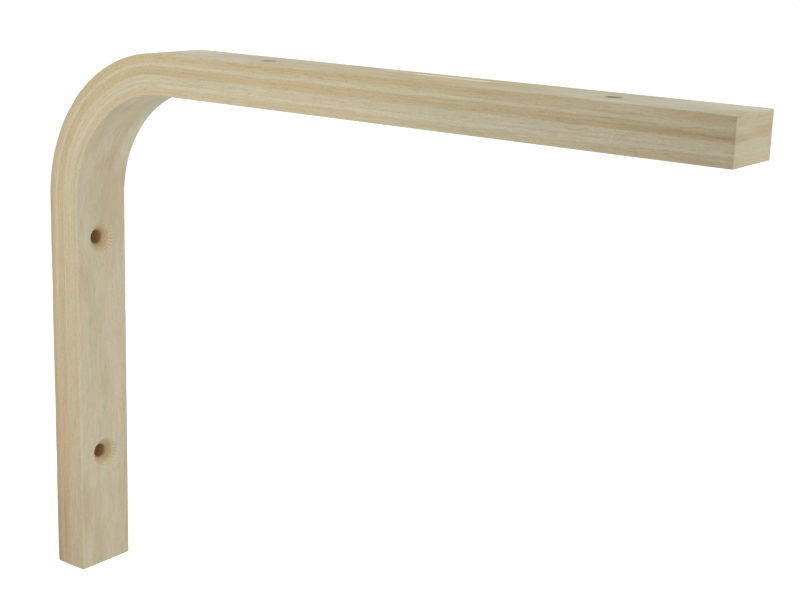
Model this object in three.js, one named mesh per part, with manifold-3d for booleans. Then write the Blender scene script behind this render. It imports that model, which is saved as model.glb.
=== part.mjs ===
// A bent laminated-wood shelf bracket: one bar of rectangular section, glued up from thin
// veneers and bent through a right angle, with two screw holes in its leg and two in its arm.
//
// Lengths are in millimetres. +X points out from the wall along the arm, +Y runs across the
// bar's width and +Z is up. The origin is on the wall face, midway between the wall screws.

import * as THREE from 'three';
import { mergeVertices } from 'three/addons/utils/BufferGeometryUtils.js';
import Module from 'manifold-3d';

// The bar
const armReach = 280; // wall face to the tip of the arm
const legDrop = 210; // top face to the foot of the leg
const barWidth = 25;
const barThickness = 15;
const bendRadius = 60; // of the outer face
const edgeEase = 0.6; // rounding of the four long edges
const endCornerRadius = 1; // rounding of the outline at the foot and at the tip

// The screw holes, each a plain bore with a countersink on the inside of the bend
const boreDiameter = 5.5;
const countersinkDiameter = 12;
const countersinkAngle = 90; // degrees, across the whole cone
const wallScrewBelowBend = 15; // upper wall screw, below the end of the bend
const wallScrewAboveFoot = 47; // lower wall screw
const shelfScrewPastBend = 40; // inner shelf screw, beyond the end of the bend
const shelfScrewFromTip = 45; // outer shelf screw

// Fineness of the facets
const bendSteps = 48;
const endCornerSteps = 4;
const easeSteps = 3;
const boreSides = 48;
const cutterOverrun = 1; // how far a hole's cutter stands proud of the faces it goes through

// Places that follow from the sizes above
const upperWallScrewDrop = bendRadius + wallScrewBelowBend;
const lowerWallScrewDrop = legDrop - wallScrewAboveFoot;
const topZ = (upperWallScrewDrop + lowerWallScrewDrop) / 2;
const footZ = topZ - legDrop;
const bendCentreZ = topZ - bendRadius;
const wallScrewHeights = [topZ - upperWallScrewDrop, topZ - lowerWallScrewDrop];
const shelfScrewReaches = [bendRadius + shelfScrewPastBend, armReach - shelfScrewFromTip];

const wood = new THREE.MeshStandardMaterial({
  name: 'bent_laminated_wood',
  color: 0xc6b48f,
  roughness: 0.72,
  metalness: 0,
});

const wasm = await Module();
wasm.setup();

// Points on an arc of the side outline, both ends included, with angles in quarter turns.
function arcPoints(centreX, centreZ, radius, startQuarter, endQuarter, steps) {
  return Array.from({ length: steps + 1 }, (_, step) => {
    const quarter = THREE.MathUtils.lerp(startQuarter, endQuarter, step / steps);
    const angle = (quarter * Math.PI) / 2;
    return new THREE.Vector2(
      centreX + radius * Math.cos(angle),
      centreZ + radius * Math.sin(angle),
    );
  });
}

// The side outline, anticlockwise from the foot's corner at the wall: across the foot, up the
// inner face, round the inner bend, along the underside, up the tip and back over the outside.
function sideOutline() {
  const inset = endCornerRadius;
  const endCorner = (x, z, startQuarter) =>
    arcPoints(x, z, inset, startQuarter, startQuarter + 1, endCornerSteps);
  return new THREE.Shape([
    ...endCorner(inset, footZ + inset, 2),
    ...endCorner(barThickness - inset, footZ + inset, 3),
    ...arcPoints(bendRadius, bendCentreZ, bendRadius - barThickness, 2, 1, bendSteps),
    ...endCorner(armReach - inset, topZ - barThickness + inset, 3),
    ...endCorner(armReach - inset, topZ - inset, 0),
    ...arcPoints(bendRadius, bendCentreZ, bendRadius, 1, 2, bendSteps),
  ]);
}

// The bar before it is drilled. The outline is carried across the width, and its last
// stretch at each side is drawn in along a quarter circle to ease the long edges.
function barGeometry() {
  const straightWidth = barWidth - 2 * edgeEase;
  const geometry = new THREE.ExtrudeGeometry(sideOutline(), {
    depth: straightWidth,
    bevelEnabled: true,
    bevelThickness: edgeEase,
    bevelSize: edgeEase,
    bevelOffset: -edgeEase,
    bevelSegments: easeSteps,
  });
  geometry.translate(0, 0, -straightWidth / 2);
  geometry.rotateX(Math.PI / 2);
  return geometry;
}

// The cutter for one screw hole, turned about +Y: the bore starts at the face at y = 0 and the
// cone opens to the countersink's diameter at the face one bar thickness further on.
function screwCutterGeometry() {
  const boreRadius = boreDiameter / 2;
  const countersinkRadius = countersinkDiameter / 2;
  const coneSlope = Math.tan(THREE.MathUtils.degToRad(countersinkAngle / 2));
  const coneDepth = (countersinkRadius - boreRadius) / coneSlope;
  const profile = [
    [0, -cutterOverrun],
    [boreRadius, -cutterOverrun],
    [boreRadius, barThickness - coneDepth],
    [countersinkRadius + cutterOverrun * coneSlope, barThickness + cutterOverrun],
    [0, barThickness + cutterOverrun],
  ];
  return new THREE.LatheGeometry(
    profile.map(([radius, along]) => new THREE.Vector2(radius, along)),
    boreSides,
  );
}

// A closed solid from a geometry whose triangles already meet edge to edge.
function solidFrom(geometry) {
  const bare = geometry.clone();
  bare.deleteAttribute('normal');
  bare.deleteAttribute('uv');
  const merged = mergeVertices(bare);
  const corners = merged.index.array;
  const triangles = [];
  for (let first = 0; first < corners.length; first += 3) {
    const [a, b, c] = corners.subarray(first, first + 3);
    // A turned shape has triangles of no area where its profile meets the axis.
    if (a !== b && b !== c && c !== a) triangles.push(a, b, c);
  }
  return new wasm.Manifold(new wasm.Mesh({
    numProp: 3,
    vertProperties: new Float32Array(merged.attributes.position.array),
    triVerts: new Uint32Array(triangles),
  }));
}

function geometryFrom(solid) {
  const { vertProperties, triVerts } = solid.getMesh();
  const geometry = new THREE.BufferGeometry();
  geometry.setAttribute('position', new THREE.BufferAttribute(vertProperties, 3));
  geometry.setIndex(new THREE.BufferAttribute(triVerts, 1));
  geometry.computeVertexNormals();
  return geometry;
}

// A wall screw's head is on the leg's inner face, so its cutter is turned to run along +X.
const wallScrewCutters = wallScrewHeights.map((height) =>
  screwCutterGeometry().rotateZ(-Math.PI / 2).translate(0, 0, height));

// A shelf screw's head is on the arm's underside, so its cutter is turned to run along -Z.
const shelfScrewCutters = shelfScrewReaches.map((reach) =>
  screwCutterGeometry().rotateX(-Math.PI / 2).translate(reach, 0, topZ));

const drilledBar = [...wallScrewCutters, ...shelfScrewCutters].reduce(
  (solid, cutter) => solid.subtract(solidFrom(cutter)),
  solidFrom(barGeometry()),
);

const bracket = new THREE.Mesh(geometryFrom(drilledBar), wood);
bracket.name = 'bracket';

const shelfBracket = new THREE.Group();
shelfBracket.add(bracket);

export default shelfBracket;
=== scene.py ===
"""A bent laminated-wood shelf bracket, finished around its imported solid.

The bar is drawn as the straight stack of veneers that it was glued up from, in beam
coordinates: s along its outer face from the foot, w across its width and t down through the
veneers from the outer face. One formula then bends it. The wood is a solid material in the
same three coordinates, so its veneers and grain follow the bend and show on every cut.
"""

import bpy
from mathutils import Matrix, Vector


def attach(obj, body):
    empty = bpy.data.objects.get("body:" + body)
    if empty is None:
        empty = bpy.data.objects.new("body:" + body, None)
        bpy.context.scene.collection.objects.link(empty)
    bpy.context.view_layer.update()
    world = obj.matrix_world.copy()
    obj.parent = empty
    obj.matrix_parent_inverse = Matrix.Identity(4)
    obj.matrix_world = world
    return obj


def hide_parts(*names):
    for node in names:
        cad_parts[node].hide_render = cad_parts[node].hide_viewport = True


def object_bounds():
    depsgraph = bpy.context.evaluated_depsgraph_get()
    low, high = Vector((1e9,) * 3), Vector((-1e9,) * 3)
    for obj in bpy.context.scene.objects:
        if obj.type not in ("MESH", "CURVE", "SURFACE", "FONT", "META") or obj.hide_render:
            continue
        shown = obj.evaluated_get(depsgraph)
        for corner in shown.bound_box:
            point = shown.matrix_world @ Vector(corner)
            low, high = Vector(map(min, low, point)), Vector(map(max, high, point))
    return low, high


bl_info = {
    "name": "Bent Shelf Bracket",
    "version": (1, 0, 0),
    "blender": (4, 5, 0),
    "location": "View3D > Sidebar > Shelf Bracket",
    "description": "Builds a bent laminated-wood shelf bracket and the stage it is shown on",
    "category": "Add Mesh",
}

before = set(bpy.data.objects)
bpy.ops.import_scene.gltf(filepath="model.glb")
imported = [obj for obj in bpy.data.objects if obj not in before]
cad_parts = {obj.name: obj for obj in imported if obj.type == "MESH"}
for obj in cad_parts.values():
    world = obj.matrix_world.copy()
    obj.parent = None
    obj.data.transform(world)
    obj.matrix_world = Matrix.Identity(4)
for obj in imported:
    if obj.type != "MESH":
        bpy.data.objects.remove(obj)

import math

import bpy
import numpy as np
from bpy.props import FloatProperty, FloatVectorProperty, IntProperty, PointerProperty
from mathutils import Matrix, Vector

NODE = "bracket"
MM = 0.001

SOLID_LOW, SOLID_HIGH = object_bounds()
SOLID_SIZE = SOLID_HIGH - SOLID_LOW

# Fineness of the mesh
ARRIS_STEPS = 3
END_RINGS = 10
WINDOW_RIM = 1.6 * MM  # face round a countersink that belongs to the hole's own mesh

WHITE = (1, 1, 1)
WARM_WHITE = (1, 0.985, 0.96)

# Tone of each veneer from the outer face to the inner one: 0 is the palest wood, 1 the tannest.
VENEER_TONES = (0.92, 0.62, 0.16, 0.88, 0.96, 0.26, 0.28, 0.04, 0.55, 0.50)

# Soft patches of colour, in the wood and some of painted light as noted at each list: centre
# (s, w, t) and reach along each, in millimetres, and strength. The near side is at w = -12.5.
# Strengths add up, and are capped at 1.
WARM_PATCHES = (
    ((118, -12, 5.6), (30, 6, 0.8), 0.3),
    ((146, -12, 2.0), (36, 6, 0.7), 0.3),
    ((205, -12, 2.2), (26, 6, 0.8), 0.5),
    ((214, -12, 5.9), (26, 6, 0.8), 0.3),
    ((280, -12, 0.9), (14, 9, 0.9), 0.35),
    ((300, -12, 0.7), (16, 10, 1.0), 0.9),
    ((308, -12, 5.9), (30, 8, 0.9), 0.4),
    ((330, -12, 0.8), (22, 9, 0.8), 0.7),
    ((362, -12, 0.9), (9, 4, 0.7), 0.9),
    ((465, 0, 2.5), (1.5, 11, 3.0), 0.3),
)
OLIVE_PATCHES = (
    ((350, -4, 0), (40, 13, 0.5), 0.85),
    ((378, 9, 0), (28, 7, 0.5), 0.9),
    ((300, -8, 0), (16, 8, 0.5), 0.4),
)
ROSE_PATCHES = (
    ((75, -12, 4.0), (70, 6, 3.4), 0.55),
    ((20, -12, 5.0), (34, 6, 7.0), 0.4),
    ((14, 4, 15.0), (30, 7, 1.0), 0.5),
    ((52, -3, 15.0), (30, 2, 1.0), 0.3),
    ((75, -11.5, 15.0), (30, 2.5, 0.8), 0.4),
    ((452, -12, 1.8), (6, 4, 0.8), 0.7),
    ((436, -12, 1.4), (8, 4, 0.6), 0.5),
    ((446, -12, 13.6), (24, 6, 1.2), 0.7),
)
BROWN_PATCHES = (
    ((456, -12, 6.8), (18, 9, 0.8), 0.9),
    ((420, -12, 6.4), (30, 9, 0.9), 0.4),
    ((455, -12, 2.0), (12, 6, 0.9), 0.3),
    ((455, -12, 14.0), (20, 5, 1.0), 0.4),
    ((22, -12, 4.9), (22, 6, 1.2), 0.5),
    ((30, -12, 1.6), (34, 6, 1.0), 0.4),
    ((72, -12, 1.3), (34, 6, 0.7), 0.2),
    ((2, -12, 0.6), (5, 3, 1.8), 0.9),
    ((10, -12, 0.8), (15, 5, 1.3), 1.0),
    ((24, -12, 2.5), (36, 6, 2.6), 0.25),
    ((157, -12, 0.9), (8, 5, 0.8), 0.4),
    ((120, -12, 0.9), (44, 5, 0.8), 0.45),
    ((426, 2.5, 0), (9, 1.6, 0.6), 0.5),
    ((462, -10, 7.0), (6, 6, 0.9), 0.5),
    ((465, 5, 5.6), (3, 6, 1.6), 0.5),
    ((381, -12, 1.4), (4, 3, 0.7), 0.4),
    ((155, -9, 15.0), (18, 4, 0.8), 0.15),
    ((465, -11, 5.6), (2, 3, 1.3), 0.4),
    ((465, 10, 5.0), (2, 4, 1.2), 0.35),
    ((465, 11.5, 8.5), (2, 2, 5.0), 0.2),
)
# Grey and sheen: the first three, on the arm's top, are painted sheen, the top drawn greyer and cooler
# where light glances off it. The others make the wood greyer in places.
GREY_AND_SHEEN_PATCHES = (
    ((254, 2, 0), (34, 12, 0.5), 1.0),
    ((292, 5, 0), (20, 8, 0.5), 0.5),
    ((430, 2, 0), (42, 12, 0.5), 1.0),
    ((342, 12.5, 0.2), (90, 0.9, 0.7), 0.8),
    ((180, -12, 1.0), (24, 5, 0.7), 0.5),
    ((405, -12, 10.5), (60, 6, 2.6), 0.4),
    ((285, -12, 8.5), (30, 6, 0.9), 0.3),
    ((465, 0, 11), (1.5, 12, 3.4), 0.3),
)
# Rubs and highlights: whitish rubs on the arm's top, with painted highlights and painted light where
# marked.
RUB_AND_HIGHLIGHT_PATCHES = (
    ((331, 8, 0), (4, 1.2, 0.5), 0.9),
    ((349, 5.8, 0), (9, 1.6, 0.5), 1.0),
    ((366, 5.2, 0), (9, 1.6, 0.5), 1.0),
    ((462, 9, 0), (10, 7, 0.5), 0.4),
    ((449, 8, 0), (7, 3, 0.5), 0.25),
    # Painted light: the far wall of each top bore drawn whitish where the hole lies in shade.
    ((284.2, 2.7, 0.75), (3.6, 1.0, 0.45), 2.5),
    ((419.2, 2.7, 0.75), (3.6, 1.0, 0.45), 2.5),
    # Painted highlights along the near top arris of the arm, these two.
    ((252, -11, 0), (14, 3.5, 0.5), 0.15),
    ((285, -12.2, 0), (44, 1.5, 0.5), 0.2),
    ((250, 6, 0), (14, 6, 0.5), 0.25),
    ((184, 10.5, 15), (18, 3.5, 0.8), 0.25),
    ((465, 7, 12.5), (1.5, 5, 2.5), 0.15),
    ((432, -12, 1.2), (14, 5, 1.0), 0.3),
)
PATCHES = {
    "warm": WARM_PATCHES, "olive": OLIVE_PATCHES, "rose": ROSE_PATCHES, "brown": BROWN_PATCHES,
    "grey_and_sheen": GREY_AND_SHEEN_PATCHES, "rubs_and_highlights": RUB_AND_HIGHLIGHT_PATCHES,
}

# What is marked on the vertices of a hole, and the shape of each value.
HOLE_MARKS = {"cut": (), "cone_foot_shade": (), "cone_wall_light": (), "around": (3,)}


def linear(red, green, blue):
    """Scene-linear colour of an sRGB one given in 0 to 255."""
    def decode(level):
        share = level / 255
        return share / 12.92 if share <= 0.04045 else ((share + 0.055) / 1.055) ** 2.4
    return decode(red), decode(green), decode(blue)


def length_property(name, description, default):
    return FloatProperty(
        name=name, description=description, default=default, unit="LENGTH", precision=4
    )


def power_property(name, description, default):
    return FloatProperty(name=name, description=description, default=default, unit="POWER")


def colour_property(name, description, default):
    return FloatVectorProperty(
        name=name, description=description, default=default, subtype="COLOR", min=0, max=1
    )


class SHELFBRACKET_PG_bar(bpy.types.PropertyGroup):
    """Sizes of the bar and its screw holes"""

    arm_reach: length_property("Arm reach", "From the wall face to the tip", SOLID_SIZE.x)
    leg_drop: length_property("Leg drop", "From the top face to the foot", SOLID_SIZE.z)
    width: length_property("Width", "Across the bar", SOLID_SIZE.y)
    thickness: length_property("Thickness", "Through all the veneers", 15 * MM)
    bend_radius: length_property("Bend radius", "Of the outer face", 60 * MM)
    arris_radius: length_property("Arris radius", "Rounding of the sanded edges", 0.45 * MM)
    bore_diameter: length_property("Bore", "Diameter of a screw hole", 5.5 * MM)
    countersink_diameter: length_property("Countersink", "Diameter at the inner face", 12 * MM)
    countersink_angle: FloatProperty(
        name="Countersink angle", description="Across the whole cone",
        default=math.radians(90), unit="ROTATION",
    )
    wall_screw_below_bend: length_property("Upper wall screw", "Below the bend's end", 15 * MM)
    wall_screw_above_foot: length_property("Lower wall screw", "Above the foot", 47 * MM)
    shelf_screw_past_bend: length_property("Inner shelf screw", "Past the bend's end", 40 * MM)
    shelf_screw_from_tip: length_property("Outer shelf screw", "Short of the tip", 45 * MM)
    ring_spacing: length_property("Ring spacing", "Between rings along the bar", 1.25 * MM)
    face_columns: IntProperty(name="Face columns", description="Across a wide face", default=44)
    side_columns: IntProperty(name="Side columns", description="Across a side face", default=40)
    relief: length_property("Relief", "Depth of sanding waves and glue lines", 0.03 * MM)


class SHELFBRACKET_PG_wood(bpy.types.PropertyGroup):
    """Colours and surface of the wood"""

    pale: colour_property("Pale veneer", "The palest veneers", linear(199, 188, 161))
    tan: colour_property("Tan veneer", "The tannest veneers", linear(188, 171, 134))
    warm: colour_property("Warm patch", "Orange patches, most near the outer face", linear(196, 160, 102))
    olive: colour_property("Olive patch", "Yellowed wood on the arm's top", linear(186, 172, 132))
    rose: colour_property("Rose patch", "Pinkish wood on the leg and at the tip", linear(202, 166, 136))
    # The brown colour also paints the shade at the foot of each countersink.
    brown: colour_property("Brown patch", "Brown patches, most near the ends", linear(156, 122, 84))
    # Painted sheen and greyed wood: the arm's top, the wide faces and the ends are drawn towards this
    # colour.
    grey_and_sheen: colour_property("Grey patch", "Greyed wood, most on the wide faces", linear(190, 193, 180))
    # Whitish rubs, and painted highlights and painted light on the top face's near arris and in the top
    # bores.
    rubs_and_highlights: colour_property("Worn patch", "Whitish rubs, most on the top face", linear(228, 224, 206))
    # Painted shade inside a screw hole: the bore's cut wood drawn darker and browner.
    cut: colour_property("Cut", "Burnished wood inside a screw hole", linear(184, 154, 108))
    roughness: FloatProperty(
        name="Roughness", description="Of the sanded surface",
        default=0.76, min=0, max=1, subtype="FACTOR",
    )


class SHELFBRACKET_PG_stage(bpy.types.PropertyGroup):
    """Camera, light and floor"""

    camera_place: FloatVectorProperty(
        name="Camera place", description="In the bracket's own frame",
        default=(0.45292, -0.4013, 0.16783), subtype="TRANSLATION", unit="LENGTH",
    )
    camera_azimuth: FloatProperty(
        name="Azimuth", description="Turn of the camera from facing the side",
        default=math.radians(36.17), unit="ROTATION",
    )
    camera_elevation: FloatProperty(
        name="Elevation", description="Downward tilt of the camera",
        default=math.radians(13.965), unit="ROTATION",
    )
    camera_roll: FloatProperty(
        name="Roll", description="Lean of the camera", default=math.radians(1.858), unit="ROTATION",
    )
    camera_lens: FloatProperty(
        name="Lens", description="Focal length in millimetres on a 36 mm wide sensor",
        default=68.918, unit="CAMERA",
    )
    floor_drop: length_property("Floor drop", "From the foot down to the floor", 0.42)
    key_power: power_property("Key light", "Light at the left", 0.36)
    fill_power: power_property("Fill light", "Light at the right", 10.3)
    top_power: power_property("Top light", "Light overhead", 8.7)
    back_power: power_property("Back light", "Light behind", 4)
    surround: FloatProperty(name="Surround", description="Brightness of the surround", default=0.55)
    floor_glow: FloatProperty(
        name="Floor glow", description="Light that comes through the floor", default=0.9
    )


# Shape of the bar

def lattice_value(corner, seed):
    """A fixed pseudo-random number from 0 to 1 for each whole-numbered lattice corner: its three
    numbers and the seed are multiplied by large odd numbers, joined bit by bit and mixed."""
    along, across, through = np.moveaxis(corner, -1, 0)
    mixed = along * 73856093 ^ across * 19349663 ^ through * 83492791 ^ seed * 2654435
    mixed = (mixed ^ (mixed >> 13)) * 1274126177 & 0x7FFFFFFF
    return ((mixed ^ (mixed >> 16)) & 0xFFFF) / 65535


def noise(points, cell, seed):
    """Smooth noise from -1 to 1: lattice values blended along each axis by 3f^2 - 2f^3."""
    scaled = points / np.asarray(cell, float)
    base = np.floor(scaled).astype(np.int64)
    fraction = scaled - base
    blend = fraction * fraction * (3 - 2 * fraction)
    total = np.zeros(points.shape[:-1])
    for step in np.ndindex(2, 2, 2):
        share = np.prod(np.where(np.array(step) == 1, blend, 1 - blend), axis=-1)
        total += share * lattice_value(base + np.array(step), seed)
    return 2 * total - 1


def bend(beam, bar):
    """Beam coordinates to the bent bar. Below the bend x = t and z rises with s. On it, with
    angle a = (s - straight leg) / radius, x = R - (R - t) cos a and z = centre + (R - t) sin a.
    Past it x grows with s and z = top - t. y = w throughout."""
    s, w, t = np.moveaxis(beam, -1, 0)
    radius = bar.bend_radius
    leg = bar.leg_drop - radius
    angle = np.clip((s - leg) / radius, 0, math.pi / 2)
    along_leg = np.minimum(s - leg, 0)
    along_arm = np.maximum(s - leg - radius * math.pi / 2, 0)
    x = SOLID_LOW.x + radius - (radius - t) * np.cos(angle) + along_arm
    z = SOLID_HIGH.z - radius + (radius - t) * np.sin(angle) + along_leg
    return np.stack([x, w, z], axis=-1)


def beam_length(bar):
    """Length of the outer face: straight leg, quarter circle and straight arm."""
    return bar.leg_drop + bar.arm_reach - 2 * bar.bend_radius + bar.bend_radius * math.pi / 2


def section_loop(bar):
    """Once round the section, from the outer face's near edge: straight faces joined by quarter
    circles. Gives the points (w, t) and the outward normals, each an array of pairs."""
    arris = bar.arris_radius
    half_width = bar.width / 2 - arris
    low, high = arris, bar.thickness - arris
    quarter = np.linspace(0, math.pi / 2, ARRIS_STEPS + 1)[:-1]
    runs = (
        ((-half_width, low), (half_width, low), (0, -1), bar.face_columns),
        ((half_width, low), (half_width, high), (1, 0), bar.side_columns),
        ((half_width, high), (-half_width, high), (0, 1), bar.face_columns),
        ((-half_width, high), (-half_width, low), (-1, 0), bar.side_columns),
    )
    cores, normals = [], []
    for index, (start, end, facing, columns) in enumerate(runs):
        share = np.arange(columns)[:, None] / columns
        cores.append(np.array(start) + (np.array(end) - np.array(start)) * share)
        normals.append(np.repeat([facing], columns, axis=0))
        following = np.array(runs[(index + 1) % 4][2])
        cores.append(np.repeat([end], ARRIS_STEPS, axis=0))
        normals.append(np.cos(quarter)[:, None] * facing + np.sin(quarter)[:, None] * following)
    core, normal = np.concatenate(cores), np.concatenate(normals)
    return core + arris * normal, normal


def relief_depth(beam, bar):
    """Depth sunk below the true face, in metres: slow sanding waves, fine fibre along the
    grain and a shallow groove at each glue line, which only the sides and ends cut through."""
    veneer = bar.thickness / len(VENEER_TONES)
    waves = 0.5 + 0.5 * noise(beam, (30 * MM, 9 * MM, 9 * MM), 11)
    fibre = 0.5 + 0.5 * noise(beam, (14 * MM, 0.9 * MM, 0.8 * MM), 12)
    from_glue = np.abs((beam[..., 2] / veneer + 0.5) % 1 - 0.5) * veneer
    inside = (beam[..., 2] > veneer / 2) & (beam[..., 2] < bar.thickness - veneer / 2)
    groove_width = 0.22 * MM
    groove = np.exp(-(from_glue / groove_width) ** 2) * inside
    return bar.relief * (0.9 * waves + 0.5 * fibre + 0.8 * groove)


def edge_wear(beam, normal, bar):
    """Extra depth on the arrises, where the normal is between two faces: small dents that come
    and go along the edge, a torn corner at the foot on the near side of the wall face, and the
    rubbed near corner of the arm's top at the tip."""
    slant = np.clip(2 * np.abs(normal[..., 0] * normal[..., 1]), 0, 1)
    dents = np.clip(noise(beam, (5 * MM, 4 * MM, 4 * MM), 21), 0, 1) ** 2
    from_foot = beam - (0.5 * MM, -bar.width / 2, 0)
    torn_reach = np.array([3.2, 1.6, 1.6]) * MM
    near = np.exp(-np.sum((from_foot / torn_reach) ** 2, axis=-1))
    torn = near * (0.6 + 0.4 * noise(beam, (0.8 * MM, 0.6 * MM, 0.6 * MM), 22))
    from_tip = beam - (beam_length(bar), -bar.width / 2, 0)
    rubbed_reach = 2.8 * MM
    rubbed = np.exp(-np.sum((from_tip / rubbed_reach) ** 2, axis=-1))
    dent_depth, torn_depth, rubbed_depth = 0.16 * MM, 0.22 * MM, 0.5 * MM
    return dent_depth * slant * dents + torn_depth * torn + rubbed_depth * rubbed


def hole_centres(bar):
    """Where along s each hole is centred: the two wall screws, then the two shelf screws."""
    leg = bar.leg_drop - bar.bend_radius
    length = beam_length(bar)
    arm = leg + bar.bend_radius * math.pi / 2
    return (
        bar.wall_screw_above_foot,
        leg - bar.wall_screw_below_bend,
        arm + bar.shelf_screw_past_bend,
        length - bar.shelf_screw_from_tip,
    )


def bar_rings(bar):
    """Every ring of the bar but the two poles, foot to tip, as (s, scale, inset) rows: the end
    faces are the section shrunk by scale, the end arrises are quarter circles of inset, and
    the bar between them is the plain section."""
    rounding = 0.9 * bar.arris_radius
    length = beam_length(bar)
    scales = np.linspace(0, 1, END_RINGS + 2)[1:-1]
    cap = np.stack([np.zeros_like(scales), scales, np.full_like(scales, rounding)], -1)
    turn = np.linspace(0, math.pi / 2, ARRIS_STEPS + 1)
    sunk, inset = rounding * (1 - np.cos(turn)), rounding * (1 - np.sin(turn))
    arris = np.stack([sunk, np.ones_like(turn), inset], -1)
    count = round((length - 2 * rounding) / bar.ring_spacing)
    plain = np.linspace(rounding, length - rounding, count + 1)[1:-1]
    middle = np.stack([plain, np.ones_like(plain), np.zeros_like(plain)], -1)
    start = np.concatenate([cap, arris])
    end = start[::-1] * (-1, 1, 1) + (length, 0, 0)
    return np.concatenate([start, middle, end])


def main_grid(bar):
    """Beam coordinates and normals of all rings: P(ring, column) = centre + scale x (section -
    inset x normal - centre), with the ring's s. End faces face along s."""
    loop, normal = section_loop(bar)
    rings = bar_rings(bar)
    centre = np.array([0, bar.thickness / 2])
    s, scale, inset = (rings[:, column, None, None] for column in range(3))
    across = centre + scale * (loop - inset * normal - centre)
    beam = np.concatenate([np.broadcast_to(s, across.shape[:2] + (1,)), across], axis=-1)
    tilt = inset / max(inset.max(), 1e-9)
    end_sign = np.where(s < beam_length(bar) / 2, -1, 1)
    facing = np.concatenate([
        np.broadcast_to(end_sign * tilt, across.shape[:2] + (1,)),
        normal * np.sqrt(1 - np.minimum(tilt, 1) ** 2),
    ], axis=-1)
    return beam, facing


def window(grid_beam, bar, centre):
    """The block of the wide faces that a hole's own mesh takes the place of: first and last
    ring, and the first and last column counted from the near edge."""
    reach = bar.countersink_diameter / 2 + WINDOW_RIM
    ring_s = grid_beam[:, 0, 0]
    inside = np.flatnonzero(np.abs(ring_s - centre) < reach)
    flat_width = bar.width - 2 * bar.arris_radius
    margin = round((flat_width / 2 - reach) / flat_width * bar.face_columns)
    return inside[0], inside[-1], margin, bar.face_columns - margin


def window_walk(block):
    """The block's outline, once round, as ring and column numbers from its first corner."""
    first_ring, last_ring, first_column, last_column = block
    rings = np.arange(first_ring, last_ring)
    columns = np.arange(first_column, last_column)
    ring_walk = np.concatenate([
        np.full(len(columns), first_ring), rings, np.full(len(columns), last_ring), rings[::-1] + 1,
    ])
    column_walk = np.concatenate([
        columns, np.full(len(rings), last_column), columns[::-1] + 1, np.full(len(rings), first_column),
    ])
    return ring_walk, column_walk


def hole_rings(outline, bar, centre, seed):
    """The hole's surface between the two wide faces, ring by ring. On a face, a ring is the
    window's outline drawn towards a circle: P = outline + k (circle - outline). Through the
    bar it is a circle whose radius follows the bore, the cone and their rounded lips. The exit
    on the outer face is torn along the grain, and the countersink's rim is a little ragged."""
    offset = outline - (centre, 0)
    angle = np.arctan2(offset[:, 1], offset[:, 0])
    direction = np.stack([np.cos(angle), np.sin(angle)], -1)
    bore, sink = bar.bore_diameter / 2, bar.countersink_diameter / 2
    cone_depth = (sink - bore) / math.tan(bar.countersink_angle / 2)
    cone_top = bar.thickness - cone_depth
    lip = 0.25 * MM
    around = np.stack([np.cos(angle) * 3, np.sin(angle) * 3, np.full_like(angle, seed)], -1)
    ragged = noise(around, (0.5, 0.5, 1), seed)
    chatter = np.sin(angle * 34 + seed) * np.clip(0.35 + np.sin(angle - 0.6), 0, 1)
    torn = 0.22 * MM * (0.55 + 0.45 * ragged) * np.abs(np.cos(angle)) ** 3

    rows = []

    def face_rows(radius, depth, shares, drop):
        for share in shares:
            place = outline + share * ((centre, 0) + radius[:, None] * direction - outline)
            rows.append(np.column_stack([place, np.full(len(place), depth) + drop(place)]))

    def circle_row(radius, depth):
        place = (centre, 0) + np.broadcast_to(radius, angle.shape)[:, None] * direction
        rows.append(np.column_stack([place, np.broadcast_to(depth, angle.shape)]))

    def torn_drop(place):
        past_bore = np.linalg.norm(place - (centre, 0), axis=-1) - bore
        return torn * np.exp(-(past_bore / (1.0 * MM)) ** 2)

    exit_shares = (0.3, 0.52, 0.68, 0.78, 0.86, 0.92, 0.96, 1.0)
    face_rows(np.full(len(angle), bore + lip), 0, exit_shares, torn_drop)
    for turn in (0.35, 0.7, 1.0):
        quarter = turn * math.pi / 2
        depth = lip * (1 - math.cos(quarter)) + torn * (1 - turn)
        circle_row(bore + lip * (1 - math.sin(quarter)), depth)
    for depth in np.linspace(lip, cone_top, 14)[1:-1]:
        circle_row(bore + 0.03 * MM * ragged, depth)
    for share in (0.0, 0.06, 0.2, 0.4, 0.6, 0.78, 0.9, 0.97):
        ripple = 0.045 * MM * chatter * share
        circle_row(bore + (sink - bore) * share + ripple, cone_top + cone_depth * share)
    rim = sink + 0.12 * MM * ragged
    circle_row(rim + 0.05 * MM * chatter, bar.thickness - 0.03 * MM)
    face_rows(rim + lip, bar.thickness, (1.0, 0.75, 0.4), lambda _place: 0)
    return np.array(rows)


def patch_strength(beam, patches):
    """Sum of soft ellipsoids, capped at 1: each is strength x exp(-d^2), with d the distance from
    its centre in reaches."""
    total = np.zeros(beam.shape[:-1])
    for centre, reach, strength in patches:
        distance = (beam - np.array(centre) * MM) / (np.array(reach) * MM)
        total += strength * np.exp(-np.sum(distance**2, axis=-1))
    return np.clip(total, 0, 1)


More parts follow.
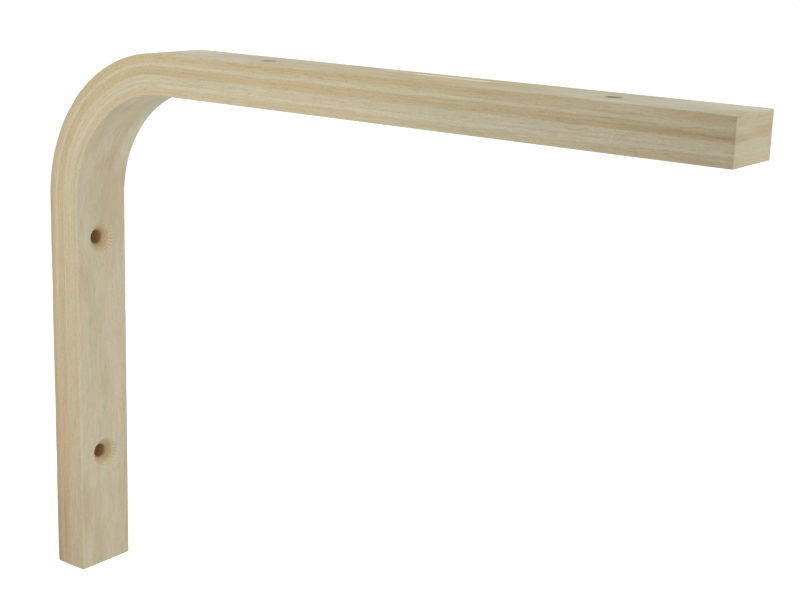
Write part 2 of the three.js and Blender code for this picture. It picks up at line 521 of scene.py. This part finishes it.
def hole_marks(rows, bar, centre):
    """What is marked on a hole's vertices, worked out from how far each is up the cone, 0 at the
    bore and 1 at the rim: the cut wall of the bore, drawn darker as painted shade, faintly on the
    outer half; painted shade at the foot of the cone; painted light that pales the cone's wall;
    and the angle round the hole with the strength of the cutter's tick marks."""
    radius = np.linalg.norm(rows[..., :2] - (centre, 0), axis=-1)
    bore, sink = bar.bore_diameter / 2, bar.countersink_diameter / 2
    up_cone = (radius - bore) / (sink - bore)
    inner_half = rows[..., 2] > bar.thickness / 2
    past_bore = np.where(inner_half, 0.22, 0.18) * MM
    in_bore = np.clip((bore + past_bore - radius) / (0.7 * past_bore), 0, 1)
    angle = np.arctan2(rows[..., 1], rows[..., 0] - centre)
    by_rim = np.exp(-((up_cone - 0.88) / 0.2) ** 2)
    ticked_side = np.clip(1.4 * np.sin(angle - 0.4) - 0.3, 0, 1)
    # The bore's wall is marked for painted shade, the foot of the cone for painted shade and the cone's
    # wall for painted light.
    return {
        "cut": in_bore * np.where(inner_half, 1, 0.1),
        "cone_foot_shade": np.clip(1 - 1.3 * up_cone, 0, 1) * inner_half * (up_cone > 0.05),
        "cone_wall_light": np.clip(5 * up_cone, 0, 1) * np.clip(10 * (1.05 - up_cone), 0, 1) * inner_half,
        "around": np.stack([np.cos(angle), np.sin(angle), by_rim * ticked_side * inner_half], -1),
    }


def no_marks(*counts):
    """Blank marks, for vertices that aren't in a hole."""
    return {name: np.zeros(counts + shape) for name, shape in HOLE_MARKS.items()}


def tube_quads(number):
    """Faces between neighbouring rows of vertex numbers, each row closed into a loop."""
    turned = np.roll(number, -1, axis=1)
    return np.stack([number[:-1], number[1:], turned[1:], turned[:-1]], -1)


def build_bar(bar):
    """The whole bar as vertices in beam coordinates, faces and hole marks. The rings make one
    tube, a pole closes each of its ends, and at each hole two windows in the wide faces are
    joined by the hole's own tube."""
    beam, facing = main_grid(bar)
    depth = relief_depth(beam, bar) + edge_wear(beam, facing[..., 1:], bar)
    vertices = [beam - facing * depth[..., None]]
    marks = [no_marks(*beam.shape[:2])]
    number = np.arange(beam[..., 0].size).reshape(beam.shape[:2])
    keep = np.ones(number[1:].shape, bool)
    faces = []

    # Columns run the other way on the inner face, whose near edge is at inner_end.
    inner_end = 2 * bar.face_columns + bar.side_columns + 2 * ARRIS_STEPS
    next_vertex = number.size
    for seed, centre in enumerate(hole_centres(bar), 31):
        block = window(beam, bar, centre)
        first_ring, last_ring, first_column, last_column = block
        keep[first_ring:last_ring, first_column:last_column] = False
        keep[first_ring:last_ring, inner_end - last_column:inner_end - first_column] = False
        ring_walk, column_walk = window_walk(block)
        rows = hole_rings(beam[ring_walk, column_walk][:, :2], bar, centre, seed)
        on_face = np.minimum(rows[..., 2], bar.thickness - rows[..., 2]) < 0.01 * MM
        outward = np.where(rows[..., 2] < bar.thickness / 2, -1, 1)
        rows[..., 2] -= outward * relief_depth(rows, bar) * on_face
        row_numbers = next_vertex + np.arange(rows[..., 0].size).reshape(rows.shape[:2])
        next_vertex += row_numbers.size
        vertices.append(rows)
        marks.append(hole_marks(rows, bar, centre))
        tube = np.concatenate([
            number[ring_walk, column_walk][None],
            row_numbers,
            number[ring_walk, inner_end - column_walk][None],
        ])
        faces.append(tube_quads(tube).reshape(-1, 4))

    faces.append(tube_quads(number)[keep])
    vertices.append(np.array([[0, 0, bar.thickness / 2], [beam_length(bar), 0, bar.thickness / 2]]))
    marks.append(no_marks(2))
    foot, tip = number[0], number[-1]
    foot_fan = np.stack([np.full_like(foot, next_vertex), foot, np.roll(foot, -1)], -1)
    tip_fan = np.stack([np.full_like(tip, next_vertex + 1), np.roll(tip, -1), tip], -1)
    all_faces = np.concatenate(faces).tolist() + foot_fan.tolist() + tip_fan.tolist()
    all_marks = {
        name: np.concatenate([each[name].reshape((-1,) + shape) for each in marks])
        for name, shape in HOLE_MARKS.items()
    }
    return np.concatenate([each.reshape(-1, 3) for each in vertices]), all_faces, all_marks


def set_attribute(mesh, name, values):
    """Puts a number, or a vector of three, on each vertex."""
    kind, field = ("FLOAT_VECTOR", "vector") if values.ndim == 2 else ("FLOAT", "value")
    numbers = np.ascontiguousarray(values, np.float32).ravel()
    mesh.attributes.new(name, kind, "POINT").data.foreach_set(field, numbers)


# The wood

class NodeBoard:
    """Adds shader nodes to a material and wires values, colours and other nodes into them."""

    def __init__(self, name):
        self.material = bpy.data.materials.new(name)
        self.material.use_nodes = True
        self.tree = self.material.node_tree
        self.tree.nodes.clear()

    def feed(self, socket, value):
        """Links another node's output to a socket, or sets the socket to a value."""
        if isinstance(value, bpy.types.NodeSocket):
            self.tree.links.new(value, socket)
        elif socket.type == "RGBA" and len(value) == 3:
            socket.default_value = (*value, 1)
        else:
            socket.default_value = value

    def put(self, kind, settings=None, **inputs):
        """Adds a node. An input is named by its label, or by i and its number."""
        node = self.tree.nodes.new(kind)
        for key, value in (settings or {}).items():
            setattr(node, key, value)
        for key, value in inputs.items():
            numbered = key[0] == "i" and key[1:].isdigit()
            self.feed(node.inputs[int(key[1:]) if numbered else key.replace("_", " ")], value)
        return node

    def math(self, operation, first, second=0.0, third=0.0):
        settings = {"operation": operation}
        return self.put("ShaderNodeMath", settings, i0=first, i1=second, i2=third).outputs[0]

    def from_ends(self, place, length):
        """Distance from the nearer end of a length."""
        return self.math("MINIMUM", place, self.math("SUBTRACT", length, place))

    def spread(self, value, low, high, to_low=0.0, to_high=1.0):
        return self.put(
            "ShaderNodeMapRange", {"interpolation_type": "SMOOTHSTEP"},
            Value=value, From_Min=low, From_Max=high, To_Min=to_low, To_Max=to_high,
        ).outputs[0]

    def blend(self, share, first, second, kind="MIX"):
        settings = {"data_type": "RGBA", "blend_type": kind, "clamp_factor": True}
        return self.put("ShaderNodeMix", settings, i0=share, i6=first, i7=second).outputs[2]

    def tint(self, share, colour, factor):
        """Multiplies a colour by a factor, as far as the share says."""
        return self.blend(share, colour, factor, "MULTIPLY")

    def grain(self, beam, frequency, shift, detail, roughness=0.55):
        """Noise stretched by a frequency along s, w and t, in turns per millimetre."""
        place = self.put(
            "ShaderNodeMapping", {"vector_type": "POINT"}, Vector=beam,
            Location=(shift, shift * 0.7, shift * 1.3), Scale=frequency,
        ).outputs[0]
        return self.put(
            "ShaderNodeTexNoise", {"noise_dimensions": "3D"}, Vector=place,
            Scale=1.0, Detail=detail, Roughness=roughness,
        ).outputs[0]


def veneer_tone(board, beam, s, t, from_end, bar):
    """Tan share of the wood and the depth it is read at, 0 to 1 through the thickness: a step for
    each veneer, drawn softly into the next one, more even down the leg and on the two cut ends,
    with slow growth variation along the grain."""
    wander = board.math("SUBTRACT", board.grain(beam, (0.012, 0.05, 0.02), 3.0, 2), 0.5)
    depth = board.math("DIVIDE", board.math("MULTIPLY_ADD", wander, 0.7, t), bar.thickness / MM)
    ramp = board.put("ShaderNodeValToRGB", Fac=depth)
    share = 1 / len(VENEER_TONES)
    soft = 0.24
    stops = [
        ((index + edge) * share, tone)
        for index, tone in enumerate(VENEER_TONES) for edge in (soft, 1 - soft)
    ]
    elements = ramp.color_ramp.elements
    while len(elements) < len(stops):
        elements.new(0.5)
    for element, (place, tone) in zip(elements, stops):
        element.position = place
        element.color = (tone, tone, tone, 1)
    contrast = board.spread(s, 90, 190, 0.42, 1.0)
    contrast = board.math("MULTIPLY", contrast, board.spread(from_end, 0.1, 0.6, 0.4, 1.0))
    base = board.math("MULTIPLY", board.math("SUBTRACT", 1.0, contrast), 0.6)
    growth = board.math("SUBTRACT", board.grain(beam, (0.028, 0.3, 1.6), 7.0, 4), 0.5)
    tone = board.math("MULTIPLY_ADD", ramp.outputs[0], contrast, base)
    return board.math("ADD", growth, tone), depth


def laminated_wood(wood, bar):
    """Bare, sanded veneers: a tone for each one through the thickness and soft patches of colour,
    some of them painted sheen and painted shade, and a painted sheen that greys the wide faces and
    the ends a little. Over them lie glue lines, pinkish and greenish drift, growth lines, and
    streaks, fibres, flecks and pores along the grain, calmer on the wide faces and the ends. The
    rubs and painted highlights on the top and the marks in the holes come last, among them painted
    shade in the bores and at the foot of each cone, and painted light on the cone's wall."""
    board = NodeBoard("laminated_wood")

    def attribute(name, output):
        return board.put("ShaderNodeAttribute", {"attribute_name": name}).outputs[output]

    beam = attribute("beam", "Vector")
    s, _, t = board.put("ShaderNodeSeparateXYZ", Vector=beam).outputs
    from_end = board.from_ends(s, beam_length(bar) / MM)
    from_wide = board.from_ends(t, bar.thickness / MM)
    tone, depth = veneer_tone(board, beam, s, t, from_end, bar)
    colour = board.blend(tone, wood.pale, wood.tan)

    mottle = board.grain(beam, (0.06, 0.25, 0.6), 61.0, 3)
    # Patches: the grey and sheen ones are partly painted sheen, and the foot of each cone gets painted
    # shade in the brown colour.
    for name, colour_name, share in (
        ("warm", "warm", 0.55), ("rose", "rose", 0.6), ("brown", "brown", 0.6),
        ("grey_and_sheen", "grey_and_sheen", 0.8), ("olive", "olive", 1.0), ("cone_foot_shade", "brown", 0.6),
    ):
        mottled = board.spread(mottle, 0.3, 0.7, 0.4 * share, share)
        patch = board.math("MULTIPLY", attribute(name, "Fac"), mottled)
        colour = board.blend(patch, colour, getattr(wood, colour_name))
    # Painted light: the countersink's wall drawn lighter.
    colour = board.tint(attribute("cone_wall_light", "Fac"), colour, (1.04, 1.065, 1.06))

    # Painted sheen: the wide faces and the ends drawn a little greyer and cooler, less so on the olive
    # patches.
    wide_sheen = board.spread(from_wide, 0.1, 0.5, 0.25, 0.0)
    end_sheen = board.spread(from_end, 0.1, 0.5, 0.1, 0.0)
    grey_sheen_share = board.math("MAXIMUM", wide_sheen, end_sheen)
    grey_sheen_share = board.math("MULTIPLY", grey_sheen_share, board.math("SUBTRACT", 1.0, attribute("olive", "Fac")))
    colour = board.blend(grey_sheen_share, colour, wood.grey_and_sheen)

    from_glue = board.math("PINGPONG", board.math("MULTIPLY", depth, len(VENEER_TONES)), 0.5)
    broken = board.spread(board.grain(beam, (0.03, 0.1, 0.7), 83.0, 3), 0.42, 0.62)
    glue = board.math("MULTIPLY", board.spread(from_glue, 0.03, 0.14, 0.8, 0.0), broken)
    colour = board.tint(glue, colour, (0.9, 0.84, 0.76))

    drift = board.grain(beam, (0.014, 0.16, 0.4), 17.0, 3)
    pinkish, greenish = (1.02, 0.992, 0.992), (0.975, 1.006, 0.992)
    colour = board.tint(1.0, colour, board.blend(board.spread(drift, 0.38, 0.62), pinkish, greenish))
    contours = board.math("MULTIPLY", board.grain(beam, (0.005, 0.05, 0.08), 5.0, 2), 9.0)
    rings = board.math("PINGPONG", contours, 0.5)
    on_leg, on_side = board.spread(s, 115, 145, 1.0, 0.3), board.spread(from_wide, 0.1, 0.5)
    line = board.math("MULTIPLY", board.spread(rings, 0.42, 0.5, 0.0, 0.55),
                      board.math("MAXIMUM", on_leg, on_side))
    colour = board.tint(line, colour, (1.0, 0.955, 0.93))

    streak = board.grain(beam, (0.035, 0.22, 1.3), 29.0, 5, 0.62)
    fibre = board.grain(beam, (0.16, 1.6, 4.2), 41.0, 3)
    fleck = board.grain(beam, (0.3, 1.8, 2.6), 53.0, 2)
    pore = board.grain(beam, (1.1, 2.6, 2.6), 71.0, 2)
    streak_shade = board.spread(streak, 0.3, 0.7, 0.958, 1.034)
    shade = board.math("ADD", streak_shade, board.spread(fibre, 0.3, 0.7, -0.07, 0.055))
    shade = board.math("SUBTRACT", shade, board.spread(fleck, 0.58, 0.76, 0.0, 0.16))
    shade = board.math("ADD", shade, board.spread(pore, 0.3, 0.7, -0.05, 0.045))
    wide_calm = board.spread(from_wide, 0.1, 0.5, 0.72, 1.0)
    calm = board.math("MINIMUM", wide_calm, board.spread(from_end, 0.1, 0.5, 0.5, 1.0))
    shade = board.math("MULTIPLY_ADD", board.math("SUBTRACT", shade, 1.0), calm, 1.0)
    shade = board.put("ShaderNodeCombineXYZ", X=shade, Y=shade, Z=shade).outputs[0]
    colour = board.tint(1.0, colour, shade)
    speck = board.spread(board.grain(beam, (0.42, 1.5, 1.9), 97.0, 1), 0.66, 0.76, 0.0, 0.7)
    colour = board.tint(speck, colour, (0.88, 0.8, 0.74))

    # Whitish rubs, and painted highlights on the near top arris and painted light in the top bores.
    fibrous = board.spread(fibre, 0.35, 0.6, 0.5, 1.0)
    rubs_and_highlights = board.math("MULTIPLY", attribute("rubs_and_highlights", "Fac"), fibrous)
    colour = board.blend(rubs_and_highlights, colour, wood.rubs_and_highlights)
    around = board.put("ShaderNodeSeparateXYZ", Vector=attribute("around", "Vector"))
    cosine, sine, tick_strength = around.outputs
    teeth = board.math("SINE", board.math("MULTIPLY", board.math("ARCTAN2", sine, cosine), 26.0))
    ticks = board.math("MULTIPLY", board.spread(teeth, 0.0, 0.9), tick_strength)
    ticks = board.math("MULTIPLY", ticks, board.spread(pore, 0.35, 0.55, 0.3, 1.0))
    colour = board.tint(ticks, colour, (0.8, 0.75, 0.6))
    # Painted shade in the bores: the cut wall drawn darker and browner.
    colour = board.blend(attribute("cut", "Fac"), colour, wood.cut)

    height = board.math("MULTIPLY_ADD", streak, 0.4, board.math("MULTIPLY", pore, 0.3))
    height = board.math("MULTIPLY_ADD", fibre, 0.5, height)
    bump = board.put("ShaderNodeBump", Strength=0.4, Distance=0.06 * MM, Height=height)
    rough = board.spread(fibre, 0.25, 0.75, wood.roughness - 0.06, wood.roughness + 0.1)
    shader = board.put(
        "ShaderNodeBsdfPrincipled",
        Base_Color=colour, Roughness=rough, Normal=bump.outputs[0], IOR=1.38,
    )
    board.put("ShaderNodeOutputMaterial", Surface=shader.outputs[0])
    return board.material


class SHELFBRACKET_OT_make_bar(bpy.types.Operator):
    """Build the bent bar with its screw holes and its wood"""

    bl_idname = "shelfbracket.make_bar"
    bl_label = "Make the bar"

    def execute(self, context):
        bar, wood = context.scene.shelfbracket_bar, context.scene.shelfbracket_wood
        beam, faces, marks = build_bar(bar)
        mesh = bpy.data.meshes.new("bent_bar")
        mesh.from_pydata(bend(beam, bar), [], faces)
        mesh.polygons.foreach_set("use_smooth", np.ones(len(faces), bool))
        set_attribute(mesh, "beam", beam / MM)
        for name, values in marks.items():
            set_attribute(mesh, name, values)
        for name, patches in PATCHES.items():
            set_attribute(mesh, name, patch_strength(beam, patches))
        mesh.materials.append(laminated_wood(wood, bar))
        if mesh.validate():
            raise RuntimeError("the bar's mesh has faces that Blender can't use")
        piece = bpy.data.objects.new("bent_bar", mesh)
        context.scene.collection.objects.link(piece)
        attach(piece, "root")
        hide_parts(NODE)
        return {"FINISHED"}


# The stage

def camera_matrix(stage):
    """Camera axes in the bracket's frame: azimuth turns about +Z from facing +Y, elevation
    tilts the view down, and roll turns the picture about the line of sight."""
    azimuth, elevation, roll = stage.camera_azimuth, stage.camera_elevation, stage.camera_roll
    forward = Vector((
        -math.sin(azimuth) * math.cos(elevation),
        math.cos(azimuth) * math.cos(elevation),
        -math.sin(elevation),
    ))
    level = Vector((math.cos(azimuth), math.sin(azimuth), 0))
    upright = level.cross(forward)
    right = math.cos(roll) * level + math.sin(roll) * upright
    up = math.cos(roll) * upright - math.sin(roll) * level
    turn = Matrix((right, up, -forward)).transposed().to_4x4()
    return Matrix.Translation(stage.camera_place) @ turn


def add_area_light(context, name, place, target, size, power, colour):
    """A round light that faces its target and isn't seen itself."""
    light = bpy.data.lights.new(name, "AREA")
    light.shape = "DISK"
    light.size = size
    light.energy = power
    light.color = colour
    lamp = bpy.data.objects.new(name, light)
    lamp.location = place
    lamp.rotation_euler = (Vector(target) - Vector(place)).to_track_quat("-Z", "Y").to_euler()
    lamp.visible_camera = False
    context.scene.collection.objects.link(lamp)


def pale_floor(height, glow):
    """A round white floor, lit from beneath as a light table is: z stays at the floor's height,
    x = r cos a and y = r sin a."""
    radius = np.array([0.4, 1.2, 3.0, 7.0, 16.0, 50.0])[:, None]
    angle = np.linspace(0, 2 * math.pi, 65)[None, :-1]
    x, y = radius * np.cos(angle), radius * np.sin(angle)
    rings = np.stack([x, y, np.full_like(x, height)], -1).reshape(-1, 3)
    number = np.arange(len(rings)).reshape(x.shape)
    middle = [number[0].tolist()]
    mesh = bpy.data.meshes.new("floor")
    mesh.from_pydata(rings, [], tube_quads(number).reshape(-1, 4).tolist() + middle)
    board = NodeBoard("pale_floor")
    shader = board.put(
        "ShaderNodeBsdfPrincipled", Base_Color=(0.4, 0.4, 0.4, 1), Roughness=0.9,
        Emission_Color=(1, 1, 1, 1), Emission_Strength=glow,
    )
    board.put("ShaderNodeOutputMaterial", Surface=shader.outputs[0])
    mesh.materials.append(board.material)
    return bpy.data.objects.new("floor", mesh)


class SHELFBRACKET_OT_make_stage(bpy.types.Operator):
    """Set up the camera, the soft light and the pale floor"""

    bl_idname = "shelfbracket.make_stage"
    bl_label = "Make the stage"

    def execute(self, context):
        stage = context.scene.shelfbracket_stage
        floor = pale_floor(SOLID_LOW.z - stage.floor_drop, stage.floor_glow)
        floor.visible_diffuse = False
        context.scene.collection.objects.link(floor)

        world = bpy.data.worlds.new("surround")
        world.use_nodes = True
        world.node_tree.nodes["Background"].inputs[0].default_value = (1.0, 1.0, 1.0, 1)
        world.node_tree.nodes["Background"].inputs[1].default_value = stage.surround
        context.scene.world = world
        arm_middle = (0.15, 0, 0.1)
        leg_top = (0.028, 0, 0.057)
        for name, place, target, size, power, colour in (
            ("key_light", (0.063, -0.225, 0.071), leg_top, 0.3, stage.key_power, WARM_WHITE),
            ("fill_light", (1.6, 0.5, -0.2), (0.02, 0, 0.05), 1.0, stage.fill_power, WHITE),
            ("top_light", (0.2, 0.4, 1.4), arm_middle, 1.2, stage.top_power, WHITE),
            ("back_light", (-0.9, 1.25, 0.5), arm_middle, 1.2, stage.back_power, WHITE),
        ):
            add_area_light(context, name, place, target, size, power, colour)

        camera = bpy.data.cameras.new("camera")
        camera.sensor_width = 36
        camera.lens = stage.camera_lens
        camera.clip_start = 0.02
        camera.clip_end = 60
        viewer = bpy.data.objects.new("camera", camera)
        viewer.matrix_world = camera_matrix(stage)
        context.scene.collection.objects.link(viewer)
        context.scene.camera = viewer
        context.scene.view_settings.view_transform = "Standard"
        return {"FINISHED"}


class SHELFBRACKET_PT_panel(bpy.types.Panel):
    """Sizes, colours and builders of the shelf bracket"""

    bl_idname = "SHELFBRACKET_PT_panel"
    bl_label = "Shelf Bracket"
    bl_space_type = "VIEW_3D"
    bl_region_type = "UI"
    bl_category = "Shelf Bracket"

    def draw(self, context):
        for title, group, operator in (
            ("Bar", context.scene.shelfbracket_bar, SHELFBRACKET_OT_make_bar),
            ("Wood", context.scene.shelfbracket_wood, None),
            ("Stage", context.scene.shelfbracket_stage, SHELFBRACKET_OT_make_stage),
        ):
            box = self.layout.box()
            box.label(text=title)
            for name in group.__annotations__:
                box.prop(group, name)
            if operator:
                box.operator(operator.bl_idname)


CLASSES = (
    SHELFBRACKET_PG_bar,
    SHELFBRACKET_PG_wood,
    SHELFBRACKET_PG_stage,
    SHELFBRACKET_OT_make_bar,
    SHELFBRACKET_OT_make_stage,
    SHELFBRACKET_PT_panel,
)
SETTINGS = {
    "shelfbracket_bar": SHELFBRACKET_PG_bar,
    "shelfbracket_wood": SHELFBRACKET_PG_wood,
    "shelfbracket_stage": SHELFBRACKET_PG_stage,
}


def register():
    for each in CLASSES:
        bpy.utils.register_class(each)
    for name, group in SETTINGS.items():
        setattr(bpy.types.Scene, name, PointerProperty(type=group))


def unregister():
    for name in SETTINGS:
        delattr(bpy.types.Scene, name)
    for each in reversed(CLASSES):
        bpy.utils.unregister_class(each)


def main():
    register()
    bpy.ops.shelfbracket.make_bar()
    bpy.ops.shelfbracket.make_stage()


if __name__ == "__main__":
    main()
